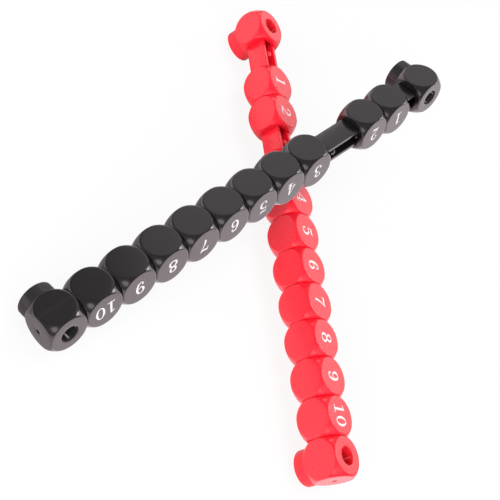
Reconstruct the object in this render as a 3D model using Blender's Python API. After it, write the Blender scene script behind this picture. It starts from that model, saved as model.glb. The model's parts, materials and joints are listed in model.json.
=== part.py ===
"""A pair of bead score counters for table football, one red and one black, set down crosswise.

Each counter is a straight rail between two end blocks, with ten numbered beads that slide along it.
The red counter lies level on the rims of its two screw bosses, rolled on them by the black counter,
which crosses over it and dips until its own far boss reaches the same surface.

Each counter is drawn in its own frame, held by an empty at the centre of its start block:
X runs along the rail from bead 1 to bead 10, Y is the way up of the numbers, and Z points out of
the numbered faces. Lengths are in metres and angles in degrees.
"""

import math

import bmesh
import bpy
from mathutils import Matrix, Vector

# Blocks: cubes that a sphere rounds off, which leaves a round flat on each side. A flat's rim stays
# this far inside the cube's side, and blocks that touch stand this far apart
BLOCK_SIDE = 0.0192
FACE_RIM = 0.0002
TOUCHING_GAP = 0.0003
BEAD_COUNT = 10
FREE_PLAY = 0.0331

# Rail: an H section, open towards the numbered faces and away from them, with a row of round nubs.
# Its height and width are shares of a block's side
RAIL_HEIGHT_SHARE = 0.547
RAIL_WIDTH_SHARE = 0.609
FLANGE_THICKNESS = 0.0020
WEB_THICKNESS = 0.0020
RAIL_SEAT_DEPTH = 0.0040
RAIL_CLEARANCE = 0.0003
NUB_RADIUS = 0.0017
NUB_DOME_HEIGHT = 0.0009
FIRST_NUB_FROM_START = 0.0168

# End blocks: a boss behind, a step smaller than the flat it stands on, a deep hole for a screw and its
# driver, with a wall between it and the rail's seat, and a small hole in the outer face
BOSS_STEP = 0.0005
BOSS_HEIGHT = 0.0060
SEAT_WALL_THICKNESS = 0.0009
SCREW_HOLE_RADIUS = 0.0023
SCREW_LEDGE_THICKNESS = 0.0060
HOLE_RIB_COUNT = 4
HOLE_RIB_WIDTH = 0.0010
HOLE_RIB_HEIGHT = 0.0004
OUTER_HOLE_RADIUS = 0.0012

# Where the beads stand: beads 1 and 2 wait near the start block, the rest lie against the finish block
RED_START_GAP = 0.0187
BLACK_START_GAP = 0.0084
WAITING_BEADS = 2

# How the pair lies: the angle between the rails, how far each one's numbered faces lean from
# straight up about its rail, and how far past bead 3 each rail is crossed, in beads
CROSSING_ANGLE = 56.0
RED_LEAN = 19.2
BLACK_LEAN = 65.3
CROSSED_BEAD = 3
RED_CROSSING_SHARE = 0.456
BLACK_CROSSING_SHARE = 0.123
STEEPEST_DIP = 40.0

# Fineness, how far a cutter or a boss runs past the surface that it meets, and the angles under which
# faces count as one flat and over which an edge is sharp
ROUND_STEPS = 24
SMALL_ROUND_STEPS = 12
DOME_STEPS = 2
HALVINGS = 50
OVERLAP = 0.0005
FLAT_ANGLE = 0.5
SHARP_ANGLE = 28.0
MILLIMETRES = 1000

HALF_BLOCK = BLOCK_SIDE / 2
FACE_RADIUS = HALF_BLOCK - FACE_RIM
BALL_RADIUS = math.hypot(HALF_BLOCK, FACE_RADIUS)
BOSS_RADIUS = FACE_RADIUS - BOSS_STEP
RAIL_HEIGHT = BLOCK_SIDE * RAIL_HEIGHT_SHARE
RAIL_WIDTH = BLOCK_SIDE * RAIL_WIDTH_SHARE
SEAT_FLOOR = HALF_BLOCK - RAIL_SEAT_DEPTH - TOUCHING_GAP
DRIVER_HOLE_RADIUS = SEAT_FLOOR - SEAT_WALL_THICKNESS
PITCH = BLOCK_SIDE + TOUCHING_GAP
FINISH_STATION = (BEAD_COUNT + 1) * PITCH + FREE_PLAY
BOSS_END = HALF_BLOCK + BOSS_HEIGHT


def clear_scene():
    for thing in list(bpy.data.objects):
        bpy.data.objects.remove(thing, do_unlink=True)


def plastic(name, colour, roughness):
    """A smooth moulded plastic of this colour, given as linear red, green and blue."""
    material = bpy.data.materials.new(name)
    material.use_nodes = True
    shader = material.node_tree.nodes["Principled BSDF"]
    shader.inputs["Base Color"].default_value = (*colour, 1)
    shader.inputs["Roughness"].default_value = roughness
    shader.inputs["Metallic"].default_value = 0
    return material


def circle(radius, steps):
    """Points of a regular polygon, counter-clockwise from the first axis."""
    turns = [math.tau * step / steps for step in range(steps)]
    return [(radius * math.cos(turn), radius * math.sin(turn)) for turn in turns]


def object_of(name, shape):
    """A new object that holds this bmesh, which is freed."""
    bmesh.ops.recalc_face_normals(shape, faces=shape.faces)
    mesh = bpy.data.meshes.new(name)
    shape.to_mesh(mesh)
    shape.free()
    thing = bpy.data.objects.new(name, mesh)
    bpy.context.scene.collection.objects.link(thing)
    return thing


def prism(name, outline, start, end, turn=Matrix.Identity(3)):
    """An outline in the plane of the first two axes, carried from start to end along the third."""
    shape = bmesh.new()
    corners = [shape.verts.new((x, y, start)) for x, y in outline]
    base = shape.faces.new(corners)
    raised = bmesh.ops.extrude_face_region(shape, geom=[base])["geom"]
    moved = [item for item in raised if isinstance(item, bmesh.types.BMVert)]
    bmesh.ops.translate(shape, verts=moved, vec=(0, 0, end - start))
    bmesh.ops.transform(shape, matrix=turn.to_4x4(), verts=shape.verts)
    return object_of(name, shape)


def rectangle(width, height):
    """The corners of a rectangle about the origin."""
    x, y = width / 2, height / 2
    return [(x, y), (-x, y), (-x, -y), (x, -y)]


def carve(name, body, union=(), difference=()):
    """The mesh of the body with the others joined on and cut out. All the objects used are removed."""
    for operation, others in (("UNION", union), ("DIFFERENCE", difference)):
        for other in others:
            other.hide_render = True
            other.display_type = "WIRE"
            step = body.modifiers.new(f"{operation.lower()} {other.name}", "BOOLEAN")
            step.operation = operation
            step.solver = "EXACT"
            step.object = other
    bpy.context.view_layer.update()
    graph = bpy.context.evaluated_depsgraph_get()
    mesh = bpy.data.meshes.new_from_object(body.evaluated_get(graph))
    mesh.name = name
    for used in (body, *union, *difference):
        bpy.data.objects.remove(used, do_unlink=True)
    mesh.materials.clear()
    mesh.shade_smooth()
    mesh.set_sharp_from_angle(angle=math.radians(SHARP_ANGLE))
    return mesh


def rounded_block(name):
    """The hull of six round flats and of the eight points where the ball bulges at the corners."""
    shape = bmesh.new()
    for axis in range(3):
        for side in (-HALF_BLOCK, HALF_BLOCK):
            for across, along in circle(FACE_RADIUS, ROUND_STEPS):
                point = [across, along]
                point.insert(axis, side)
                shape.verts.new(point)
    corner = BALL_RADIUS / math.sqrt(3)
    for x in (-corner, corner):
        for y in (-corner, corner):
            for z in (-corner, corner):
                shape.verts.new((x, y, z))
    bmesh.ops.convex_hull(shape, input=shape.verts)
    bmesh.ops.dissolve_limit(
        shape, angle_limit=math.radians(FLAT_ANGLE), verts=shape.verts, edges=shape.edges
    )
    return object_of(name, shape)


def along_rail():
    """Turns the third axis of a prism onto the rail, and keeps its first axis on the number's way up."""
    return Matrix(((0, 0, 1), (1, 0, 0), (0, 1, 0)))


def bead_mesh():
    """A block with a straight slot right through it, which fits round the rail."""
    slot = rectangle(RAIL_HEIGHT + 2 * RAIL_CLEARANCE, RAIL_WIDTH + 2 * RAIL_CLEARANCE)
    reach = HALF_BLOCK + OVERLAP
    return carve(
        "bead",
        rounded_block("bead body"),
        difference=[prism("slot", slot, -reach, reach, along_rail())],
    )


def ribbed_hole_outline():
    """A circle with narrow flat ribs standing into it, as the outline of the hole that they leave."""
    half_turn = math.asin(HOLE_RIB_WIDTH / 2 / DRIVER_HOLE_RADIUS)
    rib_radius = DRIVER_HOLE_RADIUS - HOLE_RIB_HEIGHT
    steps = ROUND_STEPS // HOLE_RIB_COUNT
    outline = []
    for rib in range(HOLE_RIB_COUNT):
        middle = math.tau * (rib + 0.5) / HOLE_RIB_COUNT
        after = math.tau / HOLE_RIB_COUNT - 2 * half_turn
        turns = [middle + half_turn + after * step / steps for step in range(steps + 1)]
        outline += [
            (rib_radius * math.cos(turn), rib_radius * math.sin(turn))
            for turn in (middle - half_turn, middle + half_turn)
        ]
        outline += [
            (DRIVER_HOLE_RADIUS * math.cos(turn), DRIVER_HOLE_RADIUS * math.sin(turn))
            for turn in turns
        ]
    return outline


def end_block_mesh():
    """A block with a screw boss behind it. The rail enters on its +X side."""
    boss = prism("boss", circle(BOSS_RADIUS, ROUND_STEPS), -BOSS_END, -HALF_BLOCK + OVERLAP)
    ledge = -BOSS_END + SCREW_LEDGE_THICKNESS
    driver_hole = prism("driver hole", ribbed_hole_outline(), ledge, HALF_BLOCK + OVERLAP)
    screw_hole = prism(
        "screw hole",
        circle(SCREW_HOLE_RADIUS, SMALL_ROUND_STEPS),
        -BOSS_END - OVERLAP,
        ledge + OVERLAP,
    )
    seat = rectangle(RAIL_HEIGHT + 2 * RAIL_CLEARANCE, RAIL_WIDTH + 2 * RAIL_CLEARANCE)
    rail_seat = prism("rail seat", seat, SEAT_FLOOR, HALF_BLOCK + OVERLAP, along_rail())
    outer_hole = prism(
        "outer hole",
        circle(OUTER_HOLE_RADIUS, SMALL_ROUND_STEPS),
        -HALF_BLOCK - OVERLAP,
        -DRIVER_HOLE_RADIUS + HOLE_RIB_HEIGHT + OVERLAP,
        along_rail(),
    )
    return carve(
        "end block",
        rounded_block("end block body"),
        union=[boss],
        difference=[driver_hole, screw_hole, rail_seat, outer_hole],
    )


def h_section():
    """The rail's outline, the number's way up first: two flanges joined by a web."""
    top, side, web = RAIL_HEIGHT / 2, RAIL_WIDTH / 2, WEB_THICKNESS / 2
    inner = top - FLANGE_THICKNESS
    quarter = [(inner, web), (inner, side), (top, side)]
    half = quarter + [(x, -y) for x, y in reversed(quarter)]
    return half + [(-x, -y) for x, y in half]


def nub_row(stations):
    """Round posts on the web whose domed ends are level with the edges of the flanges."""
    shoulder = RAIL_WIDTH / 2 - NUB_DOME_HEIGHT
    rings = [(NUB_RADIUS, 0), (NUB_RADIUS, shoulder)]
    for step in range(1, DOME_STEPS + 1):
        turn = math.pi / 2 * step / (DOME_STEPS + 1)
        rings.append((NUB_RADIUS * math.cos(turn), shoulder + NUB_DOME_HEIGHT * math.sin(turn)))
    shape = bmesh.new()
    for station in stations:
        nub = [
            shape.verts.new((x + station, y, height))
            for radius, height in rings
            for x, y in circle(radius, SMALL_ROUND_STEPS)
        ]
        nub.append(shape.verts.new((station, 0, RAIL_WIDTH / 2)))
        bmesh.ops.convex_hull(shape, input=nub)
    return object_of("nubs", shape)


def rail_mesh():
    """The rail with its nubs, one to a bead's length, as far as the finish block."""
    start = HALF_BLOCK - RAIL_SEAT_DEPTH
    body = prism("rail body", h_section(), start, FINISH_STATION - start, along_rail())
    last = FINISH_STATION - HALF_BLOCK - NUB_RADIUS
    count = 1 + math.floor((last - FIRST_NUB_FROM_START) / PITCH)
    nubs = nub_row([FIRST_NUB_FROM_START + index * PITCH for index in range(count)])
    return carve("rail", body, union=[nubs])


def bead_station(number, start_gap):
    """How far bead 1, 2, 3 ... stands from the middle of the start block."""
    play = start_gap if number <= WAITING_BEADS else FREE_PLAY
    return number * PITCH + play


def lying_axes(run, lean):
    """A counter's axes as columns, for a rail that runs this way and number faces that lean this much."""
    side = run.cross(Vector((0, 0, 1))).normalized()
    up = side.cross(run)
    out = up * math.cos(math.radians(lean)) - side * math.sin(math.radians(lean))
    return Matrix((run, out.cross(run), out)).transposed()


def section_reach(axes, direction):
    """How far a row of blocks reaches from its axis in a direction square to its rail."""
    across = sorted(abs(direction.dot(axes.col[index])) for index in (1, 2))
    if across[0] * HALF_BLOCK <= across[1] * FACE_RADIUS:
        return HALF_BLOCK * across[1] + FACE_RADIUS * across[0]
    return BALL_RADIUS * math.hypot(*across)


def crossed(dip):
    """Axes and start point of the red and the black counter, for a black rail that dips this much."""
    slope, turn = math.radians(dip), math.radians(CROSSING_ANGLE)
    black = lying_axes(Vector((-math.cos(slope), 0, -math.sin(slope))), BLACK_LEAN)
    red = lying_axes(Vector((-math.cos(turn), -math.sin(turn), 0)), RED_LEAN)
    upward = black.col[0].cross(red.col[0]).normalized()
    apart = section_reach(red, upward) + section_reach(black, upward) + TOUCHING_GAP
    crossed_bead = bead_station(CROSSED_BEAD, 0)
    red_start = -red.col[0] * (crossed_bead + RED_CROSSING_SHARE * PITCH)
    black_start = upward * apart - black.col[0] * (crossed_bead + BLACK_CROSSING_SHARE * PITCH)
    return (red, red_start), (black, black_start)


def boss_rim_height(axes, start, station):
    """The height of the lowest point on the rim of the boss at this station."""
    centre = start + axes.col[0] * station - axes.col[2] * BOSS_END
    return centre.z - BOSS_RADIUS * math.sqrt(1 - axes.col[2].z ** 2)


def resting_dip():
    """The dip at which the black counter's far boss stands as low as the red counter's bosses."""
    low, high = 0, STEEPEST_DIP
    for _ in range(HALVINGS):
        middle = (low + high) / 2
        (red, red_start), (black, black_start) = crossed(middle)
        spare = boss_rim_height(black, black_start, FINISH_STATION)
        spare -= boss_rim_height(red, red_start, FINISH_STATION)
        low, high = (middle, high) if spare > 0 else (low, middle)
    return (low + high) / 2


def place(name, mesh, parent, station, half_turn, material):
    """One piece on its counter's axis, which it shares with the rail."""
    thing = bpy.data.objects.new(name, mesh.copy())
    thing.data.name = name
    thing.data.materials.append(material)
    thing.parent = parent
    thing.location = (station, 0, 0)
    thing.rotation_euler = (0, 0, math.pi if half_turn else 0)
    bpy.context.scene.collection.objects.link(thing)
    return thing


def counter(colour, axes, start, start_gap, meshes, materials):
    """The rail, two end blocks and beads of one counter, under an empty that sets how it lies."""
    frame = bpy.data.objects.new(f"{colour}_counter", None)
    frame.empty_display_size = BLOCK_SIDE
    frame.matrix_world = Matrix.Translation(start) @ axes.to_4x4()
    bpy.context.scene.collection.objects.link(frame)
    rail, end_block, bead = meshes
    rail_plastic, block_plastic, bead_plastic = materials
    place(f"{colour}_rail", rail, frame, 0, False, rail_plastic)
    place(f"{colour}_start_block", end_block, frame, 0, False, block_plastic)
    place(f"{colour}_finish_block", end_block, frame, FINISH_STATION, True, block_plastic)
    for number in range(1, BEAD_COUNT + 1):
        station = bead_station(number, start_gap)
        place(f"{colour}_bead_{number}", bead, frame, station, False, bead_plastic)
    return frame


def set_on_origin(frames):
    """Moves both counters so that the middle of the underside of their common box is the origin."""
    bpy.context.view_layer.update()
    points = [
        thing.matrix_world @ vertex.co
        for thing in bpy.data.objects
        if thing.type == "MESH"
        for vertex in thing.data.vertices
    ]
    low = Vector(min(point[axis] for point in points) for axis in range(3))
    high = Vector(max(point[axis] for point in points) for axis in range(3))
    middle = (low + high) / 2
    for frame in frames:
        frame.location -= Vector((middle.x, middle.y, low.z))
    bpy.context.view_layer.update()


def main():
    clear_scene()
    meshes = (rail_mesh(), end_block_mesh(), bead_mesh())
    red = [
        plastic("red rail plastic", (0.86, 0.045, 0.075), 0.34),
        plastic("red end block plastic", (0.84, 0.040, 0.070), 0.30),
        plastic("red bead plastic", (0.84, 0.040, 0.070), 0.30),
    ]
    black = [
        plastic("black rail plastic", (0.030, 0.030, 0.031), 0.36),
        plastic("black end block plastic", (0.026, 0.026, 0.027), 0.32),
        plastic("black bead plastic", (0.026, 0.026, 0.027), 0.32),
    ]
    dip = resting_dip()
    (red_axes, red_start), (black_axes, black_start) = crossed(dip)
    frames = [
        counter("red", red_axes, red_start, RED_START_GAP, meshes, red),
        counter("black", black_axes, black_start, BLACK_START_GAP, meshes, black),
    ]
    set_on_origin(frames)
    print(f"The black counter dips by {dip:.2f} degrees; each counter is "
          f"{(FINISH_STATION + BLOCK_SIDE) * MILLIMETRES:.1f} mm long")


main()
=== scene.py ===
# %% [markdown]
# # A pair of bead score counters
# Two score counters for table football lie crosswise on a white table, the black one over the red
# one. Each is a plastic rail between two end blocks, with ten numbered beads that slide along it.
# The packed model is the frame that everything here is built around: it gives each piece its place,
# and this lesson gives the pieces their moulded shapes and finishes.

# %% The packed model
import json
import math

import bmesh
import bpy
import numpy as np
from mathutils import Matrix, Vector


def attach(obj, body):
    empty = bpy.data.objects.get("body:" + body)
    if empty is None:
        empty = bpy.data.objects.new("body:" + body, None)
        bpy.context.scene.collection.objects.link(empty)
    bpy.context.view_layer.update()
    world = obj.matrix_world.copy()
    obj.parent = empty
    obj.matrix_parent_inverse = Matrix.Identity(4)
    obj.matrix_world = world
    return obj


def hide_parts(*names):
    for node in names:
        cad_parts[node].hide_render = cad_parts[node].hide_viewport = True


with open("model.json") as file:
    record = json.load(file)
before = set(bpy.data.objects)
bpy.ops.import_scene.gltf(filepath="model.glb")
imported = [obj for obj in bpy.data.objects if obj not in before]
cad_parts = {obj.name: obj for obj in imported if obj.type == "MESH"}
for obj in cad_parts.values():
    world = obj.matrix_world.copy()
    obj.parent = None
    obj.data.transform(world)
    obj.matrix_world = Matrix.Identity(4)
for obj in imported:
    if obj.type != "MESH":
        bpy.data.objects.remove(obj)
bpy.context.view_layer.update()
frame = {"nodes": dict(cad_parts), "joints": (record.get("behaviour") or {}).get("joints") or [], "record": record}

COLOURS = ("red", "black")
BEADS = range(1, 11)

# %% [markdown]
# Each counter lies at its own slant, so its pieces are drawn in its own axes: along the rail from
# bead 1 to bead 10, up as the numbers stand, and out of the numbered faces. The joints and the boss
# faces of the packed record give these directions, so nothing has to be fitted by eye.

# %% The axes of each counter
ALONG, UP, OUT = range(3)


def own_axes(colour):
    """Columns along, up and out: the bead's sliding axis, and the boss's axis turned round."""
    slide = next(j for j in frame["joints"] if j["name"] == f"{colour}_bead_10_slide")
    boss = next(m for m in frame["record"]["mounts"] if m["name"] == f"{colour}_start_boss_face")
    along = np.array(slide["axis"]) / np.linalg.norm(slide["axis"])
    out = -np.array(boss["axis"])
    out -= along * (out @ along)
    out /= np.linalg.norm(out)
    return np.stack([along, np.cross(out, along), out], axis=1)


AXES = {colour: own_axes(colour) for colour in COLOURS}
for colour in COLOURS:
    print(colour, "axes, as columns:", np.round(AXES[colour], 3).tolist())

# %% [markdown]
# The sizes are read off the solids themselves: a bead gives the block's side and the radius of its
# round flats, an end block gives the boss, and the rail gives its section. What a solid's corners
# don't tell directly is named here in metres.

# %% The sizes of the blocks and the rail
SLOT_GAP = 0.0003  # all round the rail, in a bead's slot
SEAT_DEPTH = 0.0043  # of the rail's end in an end block
DRIVER_HOLE_RADIUS = 0.0044
SCREW_HOLE_RADIUS = 0.0023
SCREW_LEDGE = 0.0060  # from the boss's end to the ledge under the screw's head
OUTER_HOLE_RADIUS = 0.0012
OUTER_HOLE_DEPTH = 0.0048
FLANGE = 0.0020  # the thickness of each
WEB = 0.0020
NUB_RADIUS = 0.0017
NUB_DOME = 0.0009  # its height
FIRST_NUB = 0.0168  # from the middle of the start block
BEAD_PITCH = 0.0195
SAME_PLANE = 0.00001  # points as close to a plane as this are on it


def own_points(node, colour):
    """The corner points of a solid, in its counter's own axes."""
    mesh = frame["nodes"][node].data
    points = np.empty(len(mesh.vertices) * 3, np.float32)
    mesh.vertices.foreach_get("co", points)
    return points.reshape(-1, 3).astype(float) @ AXES[colour]


def centre_of(node, colour):
    """The middle of a block: the middle of its box along and up, and half a side below its top."""
    points = own_points(node, colour)
    low, high = points.min(axis=0), points.max(axis=0)
    middle = (low + high) / 2
    middle[OUT] = high[OUT] - HALF
    return middle


bead = own_points("red_bead_5", "red")
HALF = np.ptp(bead[:, ALONG]) / 2
bead -= centre_of("red_bead_5", "red")
on_top = bead[:, OUT] > HALF - SAME_PLANE
FLAT_RADIUS = np.hypot(bead[on_top, ALONG], bead[on_top, UP]).max()
BALL_RADIUS = math.hypot(HALF, FLAT_RADIUS)
end_block = own_points("red_start_block", "red") - centre_of("red_start_block", "red")
BOSS_HEIGHT = -HALF - end_block[:, OUT].min()
on_boss = end_block[:, OUT] < -HALF - BOSS_HEIGHT / 2
BOSS_RADIUS = np.hypot(end_block[on_boss, ALONG], end_block[on_boss, UP]).max()
rail_size = np.ptp(own_points("red_rail", "red"), axis=0)
print(f"blocks {2000 * HALF:.1f} mm, flats {2000 * FLAT_RADIUS:.1f} mm, "
      f"bosses {2000 * BOSS_RADIUS:.1f} by {1000 * BOSS_HEIGHT:.1f} mm, rail {np.round(rail_size * 1000, 1)}")

# %% [markdown]
# A mesh comes from arrays: rows of points, and rows of four indices that say which points share a
# face. Where patches meet, their rims hold the same points twice, so near points are welded.

# %% Arrays into meshes
WELD = 1e-6
SHARP = math.radians(42)  # edges that turn by more stay sharp in the shading


def quads(rows, columns):
    """Faces of a grid of points that closes on itself along its columns."""
    row, column = np.mgrid[0:rows - 1, 0:columns]
    ahead = (column + 1) % columns
    corners = (row * columns + column, (row + 1) * columns + column,
               (row + 1) * columns + ahead, row * columns + ahead)
    return np.stack(corners, axis=-1).reshape(-1, 4)


def piece(name, points, faces, smooth=True, notes=None):
    """An object at the origin whose mesh holds these points and faces, welded where they meet.
    Notes are values kept at each point, for its material to read: one number or three."""
    mesh = bpy.data.meshes.new(name)
    mesh.from_pydata(points.tolist(), [], faces.tolist())
    for title, values in (notes or {}).items():
        kind, field = ("FLOAT", "value") if values.ndim == 1 else ("FLOAT_VECTOR", "vector")
        note = mesh.attributes.new(title, kind, "POINT")
        note.data.foreach_set(field, values.ravel().astype(np.float32))
    shape = bmesh.new()
    shape.from_mesh(mesh)
    bmesh.ops.remove_doubles(shape, verts=shape.verts, dist=WELD)
    shape.to_mesh(mesh)
    shape.free()
    mesh.polygons.foreach_set("use_smooth", [smooth] * len(mesh.polygons))
    if smooth:
        mesh.set_sharp_from_angle(angle=SHARP)
    made = bpy.data.objects.new(name, mesh)
    bpy.context.scene.collection.objects.link(made)
    return made


def placed(points, colour, middle):
    """Points of a counter's own axes, set at this middle and turned into the model's axes."""
    return (points + middle) @ AXES[colour].T


print(f"a closed grid of 3 rows by 4 columns has {len(quads(3, 4))} faces")

# %% [markdown]
# A bead is a cube that a ball has rounded off: each side is left as a round flat, and the corners
# bulge. Modelling it from a sphere with six cuts would leave knife edges, where the real moulding
# has a small rounding that catches the light. So the whole skin is one formula. A point's distance
# past each pair of flats and past the ball is worked out, the largest of these is the distance past
# the block, and a soft maximum in place of the hard one gives the rounding.

# %% The skin of a block
EDGE_SOFTNESS = 0.00012
HALVINGS = 40
WELL_OUTSIDE = 1.1  # in radii of the ball
TURN_STEPS = 96  # points in a ring
turns = np.arange(TURN_STEPS) * math.tau / TURN_STEPS
spokes = np.stack([np.cos(turns), np.sin(turns)], axis=1)


def past_skin(points):
    """softness x log(sum of exp(distance / softness)), over the three |coordinate| - half a side
    and the distance from the centre less the ball's radius."""
    distances = np.concatenate(
        [np.abs(points) - HALF, np.linalg.norm(points, axis=-1, keepdims=True) - BALL_RADIUS], axis=-1)
    largest = distances.max(axis=-1, keepdims=True)
    total = np.exp((distances - largest) / EDGE_SOFTNESS).sum(axis=-1)
    return largest[..., 0] + EDGE_SOFTNESS * np.log(total)


def onto_skin(points):
    """Each point moved along its line from the centre until it lies on the skin. The stretch from
    the centre to a place well outside the ball is halved again and again."""
    ways = points / np.linalg.norm(points, axis=-1, keepdims=True)
    low, high = np.zeros(points.shape[:-1]), np.full(points.shape[:-1], WELL_OUTSIDE * BALL_RADIUS)
    for _ in range(HALVINGS):
        middle = (low + high) / 2
        outside = past_skin(ways * middle[..., None]) > 0
        low, high = np.where(outside, low, middle), np.where(outside, middle, high)
    return ways * low[..., None]


print(f"a flat's middle is {1000 * onto_skin(np.array([[0, 0, HALF]]))[0, 2]:.3f} mm from the centre")

# %% [markdown]
# Each side of the block is a patch of rings round the middle of its flat, from whatever opens in
# that flat out to the rim, over the rounding, and on to the line where the next side's patch starts.
# The rings stand close together at the rim, where the surface turns.

# %% Rings from a flat's middle to the block's edges
FIRST_RING = 0.12  # of a plain flat, in radii of the flat
ROUND_STEPS = 5
RIM_STEPS = np.array([0, 0.35, 0.65, 0.84, 0.93, 0.97, 0.99, 1])  # from an opening to the rim
BULGE_STEPS = np.array([0.06, 0.14, 0.25, 0.4, 0.58, 0.78, 1])  # from the rim to the next side
edge_reach = HALF / np.abs(spokes).max(axis=1)


def ring(radius, height):
    """Points at this radius round the flat's axis and this height over the block's centre."""
    radius = np.broadcast_to(radius, TURN_STEPS)
    return np.column_stack([spokes * radius[:, None], np.full(TURN_STEPS, height)])


def skin_rings(start):
    """Rings of the skin from a starting radius to the rim and on to the block's edges. Radii are
    counted in the plane of the flat, and each point then slides along its line to the skin."""
    start = np.broadcast_to(start, TURN_STEPS)
    flat = [start + (FLAT_RADIUS - start) * step for step in RIM_STEPS]
    bulge = [FLAT_RADIUS + (edge_reach - FLAT_RADIUS) * step for step in BULGE_STEPS]
    return [onto_skin(ring(radius, HALF)) for radius in flat + bulge]


def rounding(radius, height, size, inward=True):
    """Rings of a quarter round between a wall at this radius and the flat at this height. Inward is
    the mouth of a hole, whose wall comes up from below; outward is the rim of a boss."""
    quarter = np.linspace(0, math.pi / 2, ROUND_STEPS)
    if inward:
        return [ring(radius + size * (1 - math.cos(turn)), height - size * (1 - math.sin(turn)))
                for turn in quarter]
    return [ring(radius - size * (1 - math.sin(turn)), height - size * (1 - math.cos(turn)))
            for turn in quarter]


def opened(below, radius, size):
    """A side with an opening: the rings below its mouth, the mouth's rounding, and the skin."""
    return below + rounding(radius, HALF, size) + skin_rings(radius + size)[1:]


plain = [ring(0, HALF)] + skin_rings(FIRST_RING * FLAT_RADIUS)
print(f"a plain side has {len(plain)} rings of {TURN_STEPS} points")

# %% [markdown]
# The rail runs through a slot in every bead, a rectangle with rounded corners. A ring can follow
# any outline, if its radius is known along each spoke, and halving finds that too.

# %% Outlines along the spokes
SLOT_CORNER = 0.0007
MOUTH_ROUNDING = 0.00022
HOLE_ROUNDING = 0.00030
RIB_COUNT = 4
RIB_HEIGHT = 0.00045
RIB_HALF_WIDTH = 0.0005
RIB_TOP = 0.0020  # below the hole's mouth, where a rib has its full height
RIB_RAMP = 0.0010  # below the mouth, where it starts


def slot_radius(half_up, half_out):
    """Where each spoke leaves a rounded rectangle: the largest radius at which
    |point - nearest point of the rectangle shrunk by the corner| is under the corner's radius."""
    sides = np.array([half_up, half_out]) - SLOT_CORNER
    low, high = np.zeros(TURN_STEPS), np.full(TURN_STEPS, half_up + half_out)
    for _ in range(HALVINGS):
        middle = (low + high) / 2
        past = np.maximum(np.abs(spokes * middle[:, None]) - sides, 0)
        outside = np.linalg.norm(past, axis=1) > SLOT_CORNER
        low, high = np.where(outside, low, middle), np.where(outside, middle, high)
    return low


def rib_bump():
    """1 on each rib and 0 between them: exp(-(distance across / half width)^4)."""
    across = (turns + math.pi / RIB_COUNT) % (math.tau / RIB_COUNT) - math.pi / RIB_COUNT
    return np.exp(-(across * DRIVER_HOLE_RADIUS / RIB_HALF_WIDTH) ** 4)


rail_slot = slot_radius(rail_size[UP] / 2 + SLOT_GAP, rail_size[OUT] / 2 + SLOT_GAP)
slotted = opened([ring(rail_slot, 0), ring(rail_slot, HALF / 2)], rail_slot, MOUTH_ROUNDING)
print(f"the slot's corners are {1000 * rail_slot.max():.1f} mm from the rail's axis")

# %% [markdown]
# Six patches make a block. They are turned onto its sides by swapping coordinates, always in a way
# that is a turn and not a mirror image, so that every face keeps looking outwards.

# %% Six patches into a block
SIDES = {
    "along": ((2, 0, 1), (1, 1, 1)),
    "back": ((2, 0, 1), (-1, -1, 1)),
    "up": ((1, 2, 0), (1, 1, 1)),
    "down": ((1, 2, 0), (-1, -1, 1)),
    "out": ((0, 1, 2), (1, 1, 1)),
    "in": ((0, 1, 2), (1, -1, -1)),
}


def block_of(**patches):
    """Points and faces of a block whose sides have these rings, and plain ones elsewhere."""
    points, faces, count = [], [], 0
    for side, (order, signs) in SIDES.items():
        rings = np.array(patches.get(side, plain))
        grid = rings.reshape(-1, 3)[:, order] * signs
        points.append(grid)
        faces.append(quads(len(rings), TURN_STEPS) + count)
        count += len(grid)
    return np.concatenate(points), np.concatenate(faces)


bead_points, bead_faces = block_of(along=slotted, back=slotted)
print(f"a bead has {len(bead_faces)} faces")

# %% [markdown]
# An end block is the same block with more in its sides: a deep round hole that takes the screw and
# its driver, a boss behind with the screw's own hole, a seat for the rail's end, and a small round
# hole in the outer end. Four narrow ribs start a little below the driver hole's mouth and grip the
# screw's head. The hole narrows at a ledge to the screw's hole, and that comes out in the end of the
# boss, where the two patches meet.

# %% The four openings of an end block
boss_end = HALF + BOSS_HEIGHT
ledge = SCREW_LEDGE - boss_end
ribbed = DRIVER_HOLE_RADIUS - RIB_HEIGHT * rib_bump()
seat_floor, outer_floor = HALF - SEAT_DEPTH, HALF - OUTER_HOLE_DEPTH
driver_side = opened(
    [ring(SCREW_HOLE_RADIUS, -boss_end), ring(SCREW_HOLE_RADIUS, ledge), ring(ribbed, ledge),
     ring(ribbed, HALF - RIB_TOP), ring(DRIVER_HOLE_RADIUS, HALF - RIB_RAMP)],
    DRIVER_HOLE_RADIUS, HOLE_ROUNDING)
boss_side = ([ring(SCREW_HOLE_RADIUS, boss_end)]
             + rounding(BOSS_RADIUS, boss_end, HOLE_ROUNDING, inward=False) + skin_rings(BOSS_RADIUS))
seat_side = opened([ring(0, seat_floor), ring(rail_slot, seat_floor)], rail_slot, MOUTH_ROUNDING)
outer_side = opened(
    [ring(0, outer_floor), ring(OUTER_HOLE_RADIUS, outer_floor)], OUTER_HOLE_RADIUS, MOUTH_ROUNDING)
end_points, end_faces = block_of(along=seat_side, back=outer_side, out=driver_side, **{"in": boss_side})
print(f"an end block has {len(end_faces)} faces")
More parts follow.
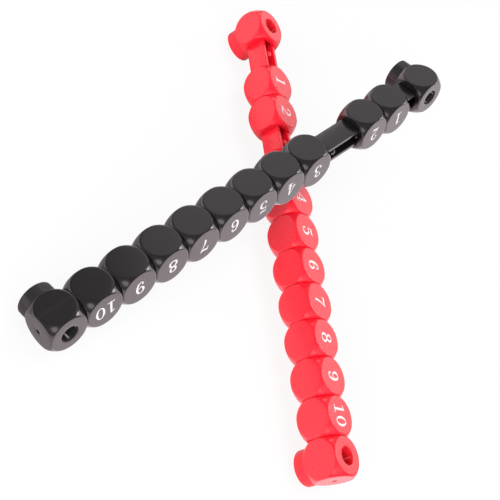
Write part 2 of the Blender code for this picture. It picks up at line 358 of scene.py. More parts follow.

# %% [markdown]
# The ribs in the driver hole carry a painted highlight that makes them pale, and the wall between them a
# little painted light. A material can't know where the ribs are, so each point of the block carries a
# note of how much of this painted light it takes, from 0 to 1. The note comes from the same radii that
# the hole was made with: a point is on a rib if it stands into the hole by between a third and a little
# over the whole of a rib's height.

# %% Where an end block's driver hole is painted lighter
# painted light in the driver hole: its wall is lightened by this share, and its ribs all the way
WALL_PAINTED_LIGHT = 0.05
RIB_FROM, RIB_TO = 1 / 3, 1.1
from_axis, height = np.hypot(end_points[:, ALONG], end_points[:, UP]), end_points[:, OUT]
into_hole = (DRIVER_HOLE_RADIUS - from_axis) / RIB_HEIGHT
over_ledge = height > ledge - WELD
rib_here = over_ledge & (into_hole > RIB_FROM) & (into_hole < RIB_TO) & (height < HALF - RIB_RAMP)
wall_here = over_ledge & (from_axis < DRIVER_HOLE_RADIUS + WELD) & (height < HALF - HOLE_ROUNDING / 2)
# the painted light: 1 on the ribs, a small share on the hole's wall, 0 elsewhere
rubbed_here = np.maximum(rib_here, WALL_PAINTED_LIGHT * wall_here)
print(f"{(rubbed_here > 0).sum()} of {len(end_points)} points are rubbed, by up to {rubbed_here.max():.1f}")

# %% [markdown]
# ## Materials
# Shader sums are easier to read as sums. One small class stands for an output of a node, and
# Python's own operators add the Math nodes.

# %% A node's output that can be reckoned with
class Wire:
    """One output of a shader node. A sum with it adds the Math node that works the sum out."""

    def __init__(self, recipe, socket):
        self.recipe, self.socket = recipe, socket

    def sum_of(self, operation, first, second):
        return self.recipe.node("Math", {"operation": operation}, first, second)

    def __add__(self, other):
        return self.sum_of("ADD", self, other)

    def __sub__(self, other):
        return self.sum_of("SUBTRACT", self, other)

    def __rsub__(self, other):
        return self.sum_of("SUBTRACT", other, self)

    def __mul__(self, other):
        return self.sum_of("MULTIPLY", self, other)

    __radd__, __rmul__ = __add__, __mul__


print("wires can be added, subtracted and multiplied, with numbers too")


# %% [markdown]
# A recipe holds the nodes of one material, or of the room's light. Its one method for new nodes sets
# a node up and feeds its sockets by place or by name, with wires or with plain values.

# %% The nodes of a material
class Recipe:
    """The nodes of one material or of the world, and the shader that they feed."""

    def __init__(self, name, kind="materials", shader="Principled BSDF"):
        self.owner = getattr(bpy.data, kind).new(name)
        self.owner.use_nodes = True
        self.tree = self.owner.node_tree
        self.shader = self.tree.nodes[shader]

    def feed(self, socket, value):
        """Links the value if it is a wire, and otherwise writes it in the socket."""
        if isinstance(value, Wire):
            self.tree.links.new(value.socket, socket)
        else:
            socket.default_value = value

    def node(self, kind, settings=None, *values, out=0, **named):
        """Adds a node, sets it, and feeds its sockets by place or by name."""
        made = self.tree.nodes.new("ShaderNode" + kind)
        for name, value in (settings or {}).items():
            setattr(made, name, value)
        for place, value in enumerate(values):
            self.feed(made.inputs[place], value)
        for name, value in named.items():
            self.feed(made.inputs[name.replace("_", " ")], value)
        return Wire(self, made.outputs[out])

    def rays(self, *kinds):
        """Wires that are 1 for rays of each of these kinds, and 0 for others."""
        outputs = self.node("LightPath").socket.node.outputs
        return [Wire(self, outputs[f"Is {kind} Ray"]) for kind in kinds]

    def surface(self, shader):
        """Makes this shader the material's surface."""
        self.feed(self.tree.nodes["Material Output"].inputs["Surface"], shader)

    def finish(self, **looks):
        """Feeds the shader's own sockets."""
        for name, value in looks.items():
            self.feed(self.shader.inputs[name.replace("_", " ")], value)
        return self.owner


print("a recipe's methods:", [name for name in vars(Recipe) if not name.startswith("_")])


# %% [markdown]
# The plastic is moulded and polished, with a thin bright skin over a slightly softer body: a coat
# over the shader's own gloss gives both. The melt has clouded the colour very slightly, and a fine
# even grain breaks up reflections. They come from noise on the piece's own coordinates, in metres,
# so they keep their size on every piece. The boss has no bright skin and has drawing marks along
# it, from the tool that pulls out of the mould, and a faint parting line runs across an end block
# where the two halves of its mould met. Both follow the block, so they read the block's own
# coordinates, which every point carries as a note.

# %% The two plastics
CLOUD_SIZE = 0.014
SPECK_SIZE = 0.0016
GRAIN_SIZE = 0.00035
STREAK_SCALE = (1 / 0.0007, 1 / 0.0007, 1 / 0.02)  # thin across the boss and long up it
PARTING_WIDTH = 0.00022
GRAIN_DEPTH = 0.00003
GRAIN_STRENGTH = 0.05
EULER = 2.718
STREAK_RUB, RIDGE_RUB = 0.16, 0.028  # how pale a drawing mark and the parting line are
SPECK_RISE, STREAK_RISE, RIDGE_RISE = 0.3, 13.0, 3.0  # how high, where the fine grain is 1
CLOUD_SHEEN, SPECK_SHEEN, BOSS_SHEEN = 0.08, 0.04, 0.16  # how much each adds to the roughness
COAT_ROUGHNESS, COAT_IOR = 0.13, 1.5


def plastic(name, dark, light, rubbed, roughness, gloss, tint, coat):
    """Colour = mix(dark, light, cloud), then mixed towards the pale colour by the marks; the marks = the
    note of painted light in the driver hole + streak^3 on the boss + the ridge; ridge = e^-(out / width)^2;
    roughness = middle + cloud + speck + more on the boss; height = grain + speck + streaks on the boss + the
    ridge."""
    recipe = Recipe(name)
    place = recipe.node("TexCoord", out=3)
    own = recipe.node("Attribute", {"attribute_name": "own place"}, out=1)
    # the note of painted light in the driver hole: a painted highlight on the ribs and a slightly lighter wall
    painted_light_note = recipe.node("Attribute", {"attribute_name": "rubbed here"}, out=2)
    is_end = recipe.node("Attribute", {"attribute_name": "end block"}, out=2)
    out = recipe.node("SeparateXYZ", None, own, out=2)
    on_boss = recipe.node("Math", {"operation": "LESS_THAN"}, out, -HALF)
    stretched = recipe.node("VectorMath", {"operation": "MULTIPLY"}, own, STREAK_SCALE)
    streak = recipe.node("TexNoise", None, stretched, Scale=1.0, Detail=3.0, Roughness=0.6) * on_boss
    across = out * (1 / PARTING_WIDTH)
    ridge = recipe.node("Math", {"operation": "POWER"}, EULER, -1 * across * across) * is_end
    cloud = recipe.node("TexNoise", None, place, Scale=1 / CLOUD_SIZE, Detail=3.0, Roughness=0.55)
    speck = recipe.node("TexNoise", None, place, Scale=1 / SPECK_SIZE, Detail=2.0, Roughness=0.5)
    fine = recipe.node("TexNoise", None, place, Scale=1 / GRAIN_SIZE, Detail=2.0, Roughness=0.6)
    # pale drawing marks and the parting line, which the plastic has, plus the painted light in the driver hole
    marks_and_painted_light = painted_light_note + STREAK_RUB * (streak * streak * streak) + RIDGE_RUB * ridge
    colour = recipe.node("Mix", {"data_type": "RGBA"}, cloud, out=2, A=(*dark, 1), B=(*light, 1))
    colour = recipe.node("Mix", {"data_type": "RGBA"}, marks_and_painted_light, out=2, A=colour, B=(*rubbed, 1))
    height = fine + SPECK_RISE * speck + STREAK_RISE * streak + RIDGE_RISE * ridge
    bump = recipe.node("Bump", None, Strength=GRAIN_STRENGTH, Distance=GRAIN_DEPTH, Height=height)
    sheen = roughness + CLOUD_SHEEN * (cloud - 0.5) + SPECK_SHEEN * (speck - 0.5) + BOSS_SHEEN * on_boss
    return recipe.finish(
        Base_Color=colour, Roughness=sheen, Normal=bump, Metallic=0.0,
        Specular_IOR_Level=gloss, Specular_Tint=(*tint, 1),
        Coat_Weight=coat * (1 - on_boss), Coat_Roughness=COAT_ROUGHNESS, Coat_IOR=COAT_IOR)


# the pale colour serves the drawing marks and the parting line, and the painted light on the driver hole's ribs
# and wall
PLASTIC = {
    "red": plastic("red moulded plastic", dark=(0.88, 0.010, 0.026), light=(0.95, 0.016, 0.036),
                   rubbed=(0.95, 0.12, 0.13), roughness=0.27, gloss=0.5, tint=(1, 1, 1), coat=0.5),
    "black": plastic("black moulded plastic", dark=(0.006, 0.006, 0.0065), light=(0.011, 0.010, 0.0105),
                     rubbed=(0.46, 0.45, 0.45), roughness=0.24, gloss=0.9, tint=(1, 0.86, 0.91), coat=1.0),
}
print("plastics:", [material.name for material in PLASTIC.values()])

# %% [markdown]
# ## The beads and end blocks
# All beads share one shape, and so do the end blocks: the one beside bead 10 is the one beside
# bead 1 turned half round about its boss. The solids keep clear of each other by 0.3 mm where real
# beads touch, and that gap would show as a black line. So the sides that can touch stand 0.1 mm
# further out here. Each new piece takes over from its solid in the frame.

# %% Setting out the blocks
HALF_TURN = np.array([-1, -1, 1])
CLOSER = 0.0001
LONGER = np.array([1 + CLOSER / HALF, 1, 1])
end_longer = end_points * np.where(end_points[:, [ALONG]] > 0, LONGER, 1)


def moulded(name, points, faces, colour, node, body, **notes):
    """A block of this shape in place of a solid of the frame. It remembers its own coordinates."""
    notes = {"own place": points, **{title.replace("_", " "): values for title, values in notes.items()}}
    made = piece(name, placed(points, colour, centre_of(node, colour)), faces, notes=notes)
    made.data.materials.append(PLASTIC[colour])
    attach(made, body)
    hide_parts(node)
    return made


for colour in COLOURS:
    for number in BEADS:
        node = f"{colour}_bead_{number}"
        moulded(f"{node}_block", bead_points * LONGER, bead_faces, colour, node, node)
    for end, turned in (("start", 1), ("finish", HALF_TURN)):
        node = f"{colour}_{end}_block"
        moulded(f"{node}_moulding", end_longer * turned, end_faces, colour, node, f"{colour}_frame",
                rubbed_here=rubbed_here, end_block=np.ones(len(end_points)))

# %% [markdown]
# ## The rails
# A rail is an H section with its corners slightly rounded, so it is one outline carried straight
# along. Each corner of the outline is replaced by a quarter round about a point that lies inside the
# corner by the radius, and the same formula serves inner and outer corners.

# %% The rail's outline
RAIL_ROUNDING = 0.00022


def softened_outline(corners, radius):
    """Quarter rounds in place of right-angled corners: centre = corner + radius x (both ways out),
    and points = centre - radius x (way in x sin + way out x cos)."""
    corners = np.array(corners)
    before, after = np.roll(corners, 1, axis=0) - corners, np.roll(corners, -1, axis=0) - corners
    before /= np.linalg.norm(before, axis=1, keepdims=True)
    after /= np.linalg.norm(after, axis=1, keepdims=True)
    centres = corners + radius * (before + after)
    quarter = np.linspace(0, math.pi / 2, ROUND_STEPS)[None, :, None]
    rounds = centres[:, None] - radius * (
        after[:, None] * np.cos(quarter) + before[:, None] * np.sin(quarter))
    return rounds.reshape(-1, 2)


top, side, inner, web = rail_size[UP] / 2, rail_size[OUT] / 2, rail_size[UP] / 2 - FLANGE, WEB / 2
quarter = [(inner, web), (inner, side), (top, side)]
half = quarter + [(x, -y) for x, y in reversed(quarter)]
rail_outline = softened_outline(half + [(-x, -y) for x, y in half], RAIL_ROUNDING)
print(f"the rail's outline has {len(rail_outline)} points")

# %% [markdown]
# The outline is set out in rows along the rail, from one end of the solid to the other. A flat face
# closes each end, which the end block's seat hides.

# %% A rail without its nubs
RAIL_STATIONS = 60


def rail_bar(name, colour):
    """The outline on rows of points along the rail, and a flat face at each end."""
    points = own_points(f"{colour}_rail", colour)
    low, high = points.min(axis=0), points.max(axis=0)
    middle = (low + high) / 2
    stations = np.linspace(low[ALONG], high[ALONG], RAIL_STATIONS)
    count = len(rail_outline)
    grid = np.empty((RAIL_STATIONS, count, 3))
    grid[..., ALONG] = stations[:, None]
    grid[..., UP] = rail_outline[None, :, 0] + middle[UP]
    grid[..., OUT] = rail_outline[None, :, 1] + middle[OUT]
    made = piece(name, grid.reshape(-1, 3) @ AXES[colour].T, quads(RAIL_STATIONS, count))
    shape = bmesh.new()
    shape.from_mesh(made.data)
    bmesh.ops.holes_fill(shape, edges=shape.edges, sides=count)
    bmesh.ops.recalc_face_normals(shape, faces=shape.faces)
    shape.to_mesh(made.data)
    shape.free()
    return made, low, middle


print(f"a bar has {RAIL_STATIONS} rows of {len(rail_outline)} points")

# %% [markdown]
# In the channel on the numbered side stand round nubs with domed ends, one to a bead's length.
# They rub on the beads, and hold them where they are pushed. A nub is a profile turned about its
# axis: a root that widens where it meets the web, a straight post, and a dome.

# %% A row of nubs
NUB_TURNS = 32
ROOT_STEPS, DOME_STEPS = 4, 7
ROOT_ROUNDING = 0.0003


def nub_profile(height):
    """Radius and height from under the web's surface up to the tip of the dome."""
    root = [(NUB_RADIUS + ROOT_ROUNDING * (1 - math.sin(a)), WEB / 2 + ROOT_ROUNDING * (1 - math.cos(a)))
            for a in np.linspace(0, math.pi / 2, ROOT_STEPS)]
    dome = [(NUB_RADIUS * math.cos(a), height - NUB_DOME + NUB_DOME * math.sin(a))
            for a in np.linspace(0, math.pi / 2, DOME_STEPS)]
    return np.array([(0, WEB / 4), (NUB_RADIUS + ROOT_ROUNDING, WEB / 4)] + root + dome)


def nub_row(name, colour, low, middle):
    """All the nubs of one rail in one piece. Each is the profile turned about its own axis."""
    start = centre_of(f"{colour}_start_block", colour)[ALONG]
    finish = centre_of(f"{colour}_finish_block", colour)[ALONG]
    profile = nub_profile(rail_size[OUT] / 2)
    around = np.arange(NUB_TURNS) * math.tau / NUB_TURNS
    one = np.stack(
        [np.outer(profile[:, 0], np.cos(around)), np.outer(profile[:, 0], np.sin(around)),
         np.repeat(profile[:, 1:], NUB_TURNS, axis=1)], axis=-1).reshape(-1, 3)
    stations = np.arange(start + FIRST_NUB, finish - HALF - NUB_RADIUS, BEAD_PITCH)
    points = np.concatenate([one + (station, middle[UP], middle[OUT]) for station in stations])
    faces = quads(len(profile), NUB_TURNS)
    indices = np.concatenate([faces + row * len(one) for row in range(len(stations))])
    return piece(name, points @ AXES[colour].T, indices), len(stations)


print(f"a nub is {2000 * NUB_RADIUS:.1f} mm across, and its profile has "
      f"{len(nub_profile(rail_size[OUT] / 2))} points")

# %% [markdown]
# Bar and nubs are moulded in one on the real rail. Here they are two pieces that ride on the same
# body, so that each can be made in the way that suits it, and the bar takes over from the solid.

# %% Setting out the rails
for colour in COLOURS:
    bar, low, middle = rail_bar(f"{colour}_rail_bar", colour)
    nubs, count = nub_row(f"{colour}_rail_nubs", colour, low, middle)
    for made in (bar, nubs):
        made.data.materials.append(PLASTIC[colour])
        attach(made, f"{colour}_frame")
    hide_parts(f"{colour}_rail")
    print(colour, "rail:", count, "nubs")

# %% [markdown]
# ## The numbers
# White numerals with thick uprights and thin turns are printed on the beads. A printed numeral is
# drawn here as its maker would with a pen: strokes run through a few points, each with its own
# width, and the ink is wherever a stroke's width reaches. Taken together like that, strokes can
# cross as they like and still give one clean outline.

# %% The strokes of the ten numerals
# Each point is (across, up, half the stroke's width), with the numeral's height as 1.
oval = [(math.cos(a), math.sin(a)) for a in np.linspace(0, math.tau, 13)]
STROKES = {
    "0": [[(0.35 + 0.245 * x, 0.50 + 0.455 * y, 0.030 + 0.055 * x * x) for x, y in oval]],
    "1": [[(0.35, 0.04, 0.080), (0.35, 0.50, 0.080), (0.35, 0.93, 0.074)],
          [(0.37, 0.975, 0.028), (0.25, 0.895, 0.036), (0.12, 0.860, 0.022)],
          [(0.11, 0.022, 0.024), (0.35, 0.032, 0.036), (0.59, 0.022, 0.024)]],
    "2": [[(0.14, 0.755, 0.074), (0.15, 0.750, 0.070)],
          [(0.09, 0.79, 0.022), (0.16, 0.915, 0.032), (0.33, 0.960, 0.042), (0.50, 0.89, 0.072),
           (0.555, 0.73, 0.086), (0.49, 0.56, 0.064), (0.34, 0.40, 0.042), (0.18, 0.24, 0.030),
           (0.09, 0.09, 0.030)],
          [(0.08, 0.055, 0.040), (0.20, 0.110, 0.056), (0.37, 0.085, 0.074), (0.52, 0.065, 0.056),
           (0.61, 0.130, 0.030), (0.645, 0.255, 0.016)]],
    "3": [[(0.14, 0.775, 0.072), (0.15, 0.770, 0.068)],
          [(0.09, 0.81, 0.020), (0.17, 0.925, 0.032), (0.32, 0.965, 0.038), (0.475, 0.90, 0.066),
           (0.515, 0.765, 0.080), (0.45, 0.625, 0.052), (0.28, 0.548, 0.024)],
          [(0.28, 0.548, 0.024), (0.455, 0.505, 0.048), (0.570, 0.395, 0.076), (0.580, 0.240, 0.086),
           (0.500, 0.095, 0.062), (0.330, 0.034, 0.036), (0.160, 0.080, 0.030), (0.080, 0.190, 0.020)],
          [(0.13, 0.225, 0.074), (0.14, 0.220, 0.070)]],
    "4": [[(0.48, 0.04, 0.078), (0.48, 0.50, 0.078), (0.48, 0.90, 0.074)],
          [(0.49, 0.970, 0.034), (0.27, 0.65, 0.028), (0.045, 0.32, 0.026)],
          [(0.04, 0.288, 0.030), (0.36, 0.288, 0.030), (0.67, 0.288, 0.030)],
          [(0.27, 0.022, 0.024), (0.48, 0.032, 0.034), (0.68, 0.022, 0.024)]],
    "5": [[(0.16, 0.940, 0.034), (0.31, 0.895, 0.068), (0.46, 0.905, 0.068), (0.585, 0.975, 0.022)],
          [(0.15, 0.960, 0.026), (0.135, 0.75, 0.022), (0.12, 0.545, 0.022)],
          [(0.12, 0.545, 0.022), (0.22, 0.605, 0.032), (0.37, 0.615, 0.048), (0.525, 0.520, 0.076),
           (0.580, 0.335, 0.086), (0.520, 0.145, 0.066), (0.360, 0.036, 0.036), (0.180, 0.070, 0.030),
           (0.090, 0.175, 0.020)],
          [(0.14, 0.210, 0.074), (0.15, 0.205, 0.070)]],
    "6": [[(0.50, 0.800, 0.072), (0.51, 0.795, 0.068)],
          [(0.56, 0.83, 0.020), (0.50, 0.930, 0.030), (0.38, 0.960, 0.038), (0.23, 0.87, 0.062),
           (0.135, 0.67, 0.080), (0.110, 0.42, 0.088), (0.150, 0.20, 0.080), (0.245, 0.068, 0.048),
           (0.360, 0.034, 0.034), (0.485, 0.090, 0.056), (0.565, 0.215, 0.078), (0.565, 0.360, 0.080),
           (0.490, 0.500, 0.056), (0.380, 0.553, 0.034), (0.265, 0.520, 0.030), (0.180, 0.430, 0.030)]],
    "7": [[(0.070, 0.710, 0.022), (0.085, 0.83, 0.034), (0.105, 0.950, 0.036)],
          [(0.10, 0.905, 0.050), (0.23, 0.900, 0.080), (0.39, 0.875, 0.074), (0.54, 0.895, 0.056),
           (0.63, 0.955, 0.032)],
          [(0.62, 0.940, 0.028), (0.51, 0.730, 0.034), (0.39, 0.500, 0.054), (0.315, 0.270, 0.078),
           (0.300, 0.085, 0.086)]],
    "8": [[(0.35 + 0.205 * x, 0.755 + 0.205 * y, 0.034 + 0.044 * x * x) for x, y in oval],
          [(0.35 + 0.250 * x, 0.272 + 0.236 * y, 0.034 + 0.050 * x * x) for x, y in oval]],
}
STROKES["9"] = [[(0.69 - x, 1 - y, width) for x, y, width in stroke] for stroke in STROKES["6"]]
print("numerals:", " ".join(sorted(STROKES)))

# %% [markdown]
# A smooth line through the points of a stroke is a Catmull-Rom curve: between two points it follows
# a cubic whose slopes come from the neighbours on either side.

# %% A smooth line through a stroke's points
STROKE_STEPS = 24


def through(points):
    """Catmull-Rom: ((2b) + (c - a)t + (2a - 5b + 4c - d)t^2 + (3b - a - 3c + d)t^3) / 2."""
    points = np.array(points, float)
    closed = np.allclose(points[0], points[-1])
    first = points[-2] if closed else 2 * points[0] - points[1]
    last = points[1] if closed else 2 * points[-1] - points[-2]
    a, b, c, d = (np.vstack([first, points, last])[i:len(points) - 1 + i] for i in range(4))
    t = np.linspace(0, 1, STROKE_STEPS)[None, :, None]
    a, b, c, d = a[:, None], b[:, None], c[:, None], d[:, None]
    curve = (2 * b + (c - a) * t + (2 * a - 5 * b + 4 * c - d) * t**2
             + (3 * b - a - 3 * c + d) * t**3) / 2
    return curve.reshape(-1, 3)


print(f"the upper loop of the 8 becomes {len(through(STROKES['8'][0]))} dots")

# %% [markdown]
# Each dot of a stroke inks a round spot of the stroke's width. A grid of points lies over the
# numeral, and each keeps how deep it is in the deepest spot, which is below zero outside the ink.
# The pen is a little finer than the strokes were drawn, which gives the photograph's weight.

# %% The ink on a grid
# Sizes are counted in numeral heights.
PEN_WEIGHT = 0.88
INK_CELL = 0.0125
PAPER_EDGE, PAPER_WIDTH, PAPER_HEIGHT = -0.05, 0.76, 1.05
INK_PARTS = 12  # the dots are taken in so many parts, which needs less memory


def ink(strokes):
    """On a grid, how far inside the ink each point is: the largest of weight x width - distance."""
    dots = np.concatenate([through(stroke) for stroke in strokes])
    across, up = np.meshgrid(np.arange(PAPER_EDGE, PAPER_WIDTH, INK_CELL),
                             np.arange(PAPER_EDGE, PAPER_HEIGHT, INK_CELL))
    grid = np.stack([across, up], axis=-1)
    depth = np.full(across.shape, -np.inf)
    for part in np.array_split(dots, INK_PARTS):
        away = np.linalg.norm(grid[:, :, None] - part[None, None, :, :2], axis=-1)
        depth = np.maximum(depth, (PEN_WEIGHT * part[:, 2] - away).max(axis=-1))
    return grid, depth


print(f"ink covers {100 * (ink(STROKES['8'])[1] > 0).mean():.0f} percent of the 8's grid")

# %% [markdown]
# Each cell of the grid is two triangles. The ones in the ink stay whole, and the ones at its edge
# are cut along the line where the depth is zero.

# %% Triangles cut to the ink's outline
def cut_at_zero(corners, depth):
    """Triangles trimmed to where the depth is over zero. A triangle with one corner inside keeps
    its tip, and one with two keeps a band of two triangles, cut where the depth passes zero."""
    inside = (depth > 0).sum(axis=1)
    kept = [corners[inside == 3]]
    for count, lone in ((1, np.argmax(depth > 0, axis=1)), (2, np.argmin(depth > 0, axis=1))):
        chosen = np.flatnonzero(inside == count)
        order = (lone[chosen, None] + np.arange(3)) % 3
        p = corners[chosen[:, None], order]
        f = depth[chosen[:, None], order]
        share = f[:, :1] / (f[:, :1] - f[:, 1:])
        first = p[:, 0] + (p[:, 1] - p[:, 0]) * share[:, :1]
        second = p[:, 0] + (p[:, 2] - p[:, 0]) * share[:, 1:]
        if count == 1:
            kept.append(np.stack([p[:, 0], first, second], axis=1))
        else:
            kept.append(np.stack([first, p[:, 1], p[:, 2]], axis=1))
            kept.append(np.stack([first, p[:, 2], second], axis=1))
    return np.concatenate(kept)


def numeral(figure):
    """The triangles of one numeral, as an array of corner points in its own plane."""
    grid, depth = ink(STROKES[figure])
    rows, columns = depth.shape
    row, column = np.mgrid[0:rows - 1, 0:columns - 1].reshape(2, -1)
    lower = np.stack([row * columns + column, row * columns + column + 1,
                      (row + 1) * columns + column + 1], axis=1)
    upper = np.stack([row * columns + column, (row + 1) * columns + column + 1,
                      (row + 1) * columns + column], axis=1)
    corners = np.concatenate([lower, upper])
    return cut_at_zero(grid.reshape(-1, 2)[corners], depth.reshape(-1)[corners])


FIGURES = {figure: numeral(figure) for figure in STROKES}
print("triangles in each numeral:", {name: len(shape) for name, shape in sorted(FIGURES.items())})

# %% [markdown]
# The ink stands a few hundredths of a millimetre proud of the flat, as a thick print does, and it
# reaches a little into the bead. It is white with a faint unevenness.

# %% The numbers on the beads
NUMERAL_HEIGHT = 0.0079
NUMERAL_WIDTH = 0.70
NUMERAL_STEP = 0.75
INK_THICKNESS = 0.00010
BLOTCH_SCALE = 1400.0
BLOTCH_DEPTH = 0.00002
THIN_INK, THICK_INK = (0.85, 0.85, 0.85, 1), (0.93, 0.93, 0.93, 1)
INK_ROUGHNESS, INK_ROUGHNESS_SPAN = 0.42, 0.12
white = Recipe("white number ink")
ink_place = white.node("TexCoord", out=3)
blotch = white.node("TexNoise", None, ink_place, Scale=BLOTCH_SCALE, Detail=3.0, Roughness=0.6)
white_ink = white.finish(
    Base_Color=white.node("Mix", {"data_type": "RGBA"}, blotch, out=2, A=THIN_INK, B=THICK_INK),
    Roughness=INK_ROUGHNESS + INK_ROUGHNESS_SPAN * (blotch - 0.5),
    Normal=white.node("Bump", None, Strength=0.2, Distance=BLOTCH_DEPTH, Height=blotch))


def number_on(node, colour, text):
    """The text's numerals side by side, centred on the flat of a bead, as one piece."""
    shapes = [FIGURES[figure] + (place * NUMERAL_STEP, 0) for place, figure in enumerate(text)]
    flat = np.concatenate(shapes).reshape(-1, 2)
    width = (len(text) - 1) * NUMERAL_STEP + NUMERAL_WIDTH
    flat = (flat - (width / 2, 0.5)) * NUMERAL_HEIGHT
    points = np.column_stack([flat, np.full(len(flat), HALF)])
    faces = np.arange(len(points)).reshape(-1, 3)
    made = piece(f"{node}_number", placed(points, colour, centre_of(node, colour)), faces, smooth=False)
    body = made.modifiers.new("thickness of the ink", "SOLIDIFY")
    body.thickness, body.offset = INK_THICKNESS, 0
    made.data.materials.append(white_ink)
    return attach(made, node)


for colour in COLOURS:
    for number in BEADS:
        number_on(f"{colour}_bead_{number}", colour, str(number))

# %% [markdown]
# ## The table, the light and the camera
# The floor is a wide white disc. What the camera and reflections see of it is mostly its own white
# and partly the light that falls on it, so the background is white and the counters still stand in
# their own soft shadow. Far from them it is all its own white, because the lamps don't reach there.
# Reflections see it faintly warm, like the sheen on the photograph's black plastic.

# %% The white table
FLOOR_RADIUS = 12.0
FLOOR_SIDES = 96
OWN_WHITE = 0.88
FADE_START, FADE_END = 0.15, 0.60  # from the middle
PLAIN_WHITE, WARM_WHITE = (1, 1, 1, 1), (1, 0.90, 0.93, 1)
TABLE_PAINT = (0.82, 0.82, 0.82, 1)
floor_mesh = bpy.data.meshes.new("table")
rim = np.arange(FLOOR_SIDES) * math.tau / FLOOR_SIDES
rim_points = np.column_stack([np.cos(rim), np.sin(rim), np.zeros(FLOOR_SIDES)]) * FLOOR_RADIUS
floor_mesh.from_pydata(rim_points.tolist(), [], [list(range(FLOOR_SIDES))])
floor = bpy.data.objects.new("table", floor_mesh)
bpy.context.scene.collection.objects.link(floor)
table_white = Recipe("white table")
table_white.finish(Base_Color=TABLE_PAINT, Roughness=0.9, Specular_IOR_Level=0.0)
seen, mirrored, passed = table_white.rays("Camera", "Glossy", "Transmission")
shade = table_white.node("Mix", {"data_type": "RGBA"}, mirrored, out=2, A=PLAIN_WHITE, B=WARM_WHITE)
glow = table_white.node("Emission", None, shade, 1.0)
lit = Wire(table_white, table_white.shader.outputs[0])
table_place = table_white.node("TexCoord", out=3)
away = table_white.node("VectorMath", {"operation": "LENGTH"}, table_place, out=1)
far_off = table_white.node("MapRange", None, away, FADE_START, FADE_END, OWN_WHITE, 1.0)
own_share = (seen + mirrored + passed) * far_off
table_white.surface(table_white.node("MixShader", None, own_share, lit, glow))
floor_mesh.materials.append(table_white.owner)
print(f"the table is {2 * FLOOR_RADIUS:.0f} m across")

# %% [markdown]
# The light comes from eight soft boxes, all at one distance, in a dim room. Three large ones do most
# of the lighting. A black surface is seen by what it mirrors, and they would show in it as grey
# bands, so they are kept out of reflections, as a photographer does by setting them outside the
# angles that the faces mirror. The other five are there to be mirrored: the strip low on the far
# side gives the numbered faces their sheen, the lamps on the far side and in the far corner draw the
# glints between two flats, the one at the back right lets the black tops show, and the round one on
# the near side puts a soft spot on each corner.

# %% The light
LAMP_DISTANCE = 1.5
MIDDLE = Vector((0, 0, 0.03))
LAMPS = [
    # name, degrees round from +X, degrees up, width, height, watts, shape, mirrored
    ("back left", 170, 28, 2.0, 0.9, 22, "RECTANGLE", False),
    ("near", -116, 38, 1.2, 0.8, 10, "RECTANGLE", False),
    ("overhead", 0, 80, 1.2, 1.2, 14, "RECTANGLE", False),
    ("far strip", -8, 14, 1.25, 0.34, 1.6, "RECTANGLE", True),
    ("far side", -22, 32, 0.36, 0.50, 2.6, "RECTANGLE", True),
    ("far corner", 55, 19, 0.36, 0.20, 0.6, "RECTANGLE", True),
    ("back right", 46, 36, 1.1, 1.1, 1.1, "RECTANGLE", True),
    ("near spark", -147, 27, 0.75, 0.46, 1.2, "ELLIPSE", True),
]


def soft_box(name, turn, rise, width, height, watts, shape, mirrored):
    """A flat lamp that faces the middle. Its place = distance x (cos rise cos turn, cos rise sin
    turn, sin rise)."""
    turn, rise = math.radians(turn), math.radians(rise)
    lamp = bpy.data.lights.new(name, "AREA")
    lamp.shape, lamp.size, lamp.size_y, lamp.energy = shape, width, height, watts
    made = bpy.data.objects.new(name, lamp)
    made.location = LAMP_DISTANCE * Vector(
        (math.cos(rise) * math.cos(turn), math.cos(rise) * math.sin(turn), math.sin(rise)))
    made.rotation_mode = "QUATERNION"
    made.rotation_quaternion = (MIDDLE - made.location).to_track_quat("-Z", "Y")
    made.visible_glossy = mirrored
    bpy.context.scene.collection.objects.link(made)
    return made


print("lamps:", [soft_box(*lamp).name for lamp in LAMPS])

# %% [markdown]
# The black counter's numbered faces would mirror the red counter, and its rounded shoulders would
# mirror a table that is as white as a lamp. A photographer puts small cards beside the object for
# that, a white one along the red row and a grey one on the table behind the black row. Here only
# reflections see them, and only from in front, so they are neither in the picture nor in the light.

# %% The two cards
CARD_GAP = 0.0015  # from the red beads' sides
CARD_LOW, CARD_HIGH = 0.0135, 0.020  # below and above their middles
CARD_THICKNESS = 0.0004
WHITE_SHADE, GREY_SHADE = 1.0, 0.42
GREY_CORNERS = [(-0.150, 0.006), (0.190, 0.052), (0.215, 0.150), (-0.150, 0.100)]


def card(name, corners, shade):
    """A flat card that only reflections see: it glows with this shade in front, and is clear behind."""
    mesh = bpy.data.meshes.new(name)
    mesh.from_pydata(np.array(corners).tolist(), [], [(0, 1, 2, 3)])
    made = bpy.data.objects.new(name, mesh)
    bpy.context.scene.collection.objects.link(made)
    made.visible_camera = made.visible_diffuse = made.visible_transmission = made.visible_shadow = False
    paper = Recipe(name)
    behind = paper.node("NewGeometry", out=6)
    front = paper.node("Emission", None, WARM_WHITE, shade)
    paper.surface(paper.node("MixShader", None, behind, front, paper.node("BsdfTransparent")))
    mesh.materials.append(paper.owner)
    print(name, "faces", np.round(np.array(mesh.polygons[0].normal), 2))


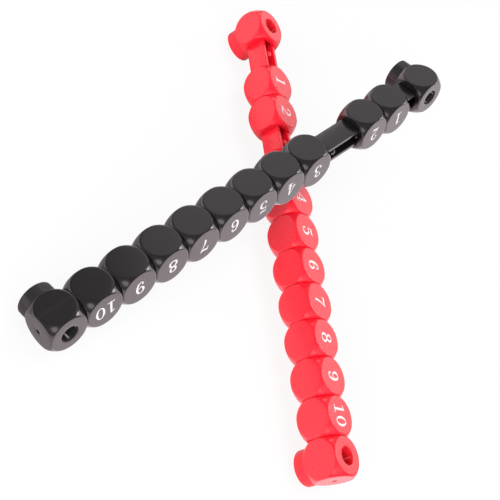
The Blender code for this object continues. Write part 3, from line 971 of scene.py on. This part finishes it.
flank = -AXES["red"][:, UP] * (HALF + CARD_GAP)
near, far = (centre_of(f"red_bead_{number}", "red") @ AXES["red"].T + flank for number in (4, 10))
down, up = CARD_LOW * -AXES["red"][:, OUT], CARD_HIGH * AXES["red"][:, OUT]
card("white card", [near + down, far + down, far + up, near + up], WHITE_SHADE)
card("grey card", [(*corner, CARD_THICKNESS) for corner in GREY_CORNERS], GREY_SHADE)

# %% [markdown]
# The room's light fills in what the lamps leave. To the camera the room is as white as the table, so
# the background stays white from low angles too. The black plastic in the photograph mirrors a dim
# room, so reflections see little of that white.

# %% The room
ROOM_LIGHT = 0.10
ROOM_MIRRORED = 0.04
room = Recipe("white room", "worlds", "Background")
seen, mirrored, passed = room.rays("Camera", "Glossy", "Transmission")
white_share = seen + passed + ROOM_MIRRORED * mirrored
bpy.context.scene.world = room.finish(
    Color=PLAIN_WHITE, Strength=ROOM_LIGHT + (1 - ROOM_LIGHT) * white_share)
print(f"the room's light is {ROOM_LIGHT} of white")

# %% [markdown]
# The camera was fitted to the round flats, holes and bosses in the photograph. It looks down
# steeply, and it is rolled, so its three directions are given as they were found.

# %% The camera
RIGHT = np.array([0.63161, -0.58885, 0.50431])
DOWN = np.array([-0.41688, -0.80639, -0.41945])
FORWARD = np.array([0.65366, 0.05469, -0.75481])
CAMERA_PLACE = (-0.33175, -0.0254, 0.38719)
SENSOR_WIDTH, FOCAL_LENGTH = 36.0, 70.4
NEAREST, FARTHEST = 0.02, 60  # what it can see
lens = bpy.data.cameras.new("camera")
lens.sensor_width, lens.lens = SENSOR_WIDTH, FOCAL_LENGTH
lens.clip_start, lens.clip_end = NEAREST, FARTHEST
camera = bpy.data.objects.new("camera", lens)
turn = Matrix(np.stack([RIGHT, -DOWN, -FORWARD], axis=1).tolist()).to_quaternion().normalized()
camera.matrix_world = Matrix.Translation(CAMERA_PLACE) @ turn.to_matrix().to_4x4()
bpy.context.scene.collection.objects.link(camera)
bpy.context.scene.camera = camera
bpy.context.scene.view_settings.view_transform = "Standard"
print("camera at", [round(x, 3) for x in camera.location])

# %% [markdown]
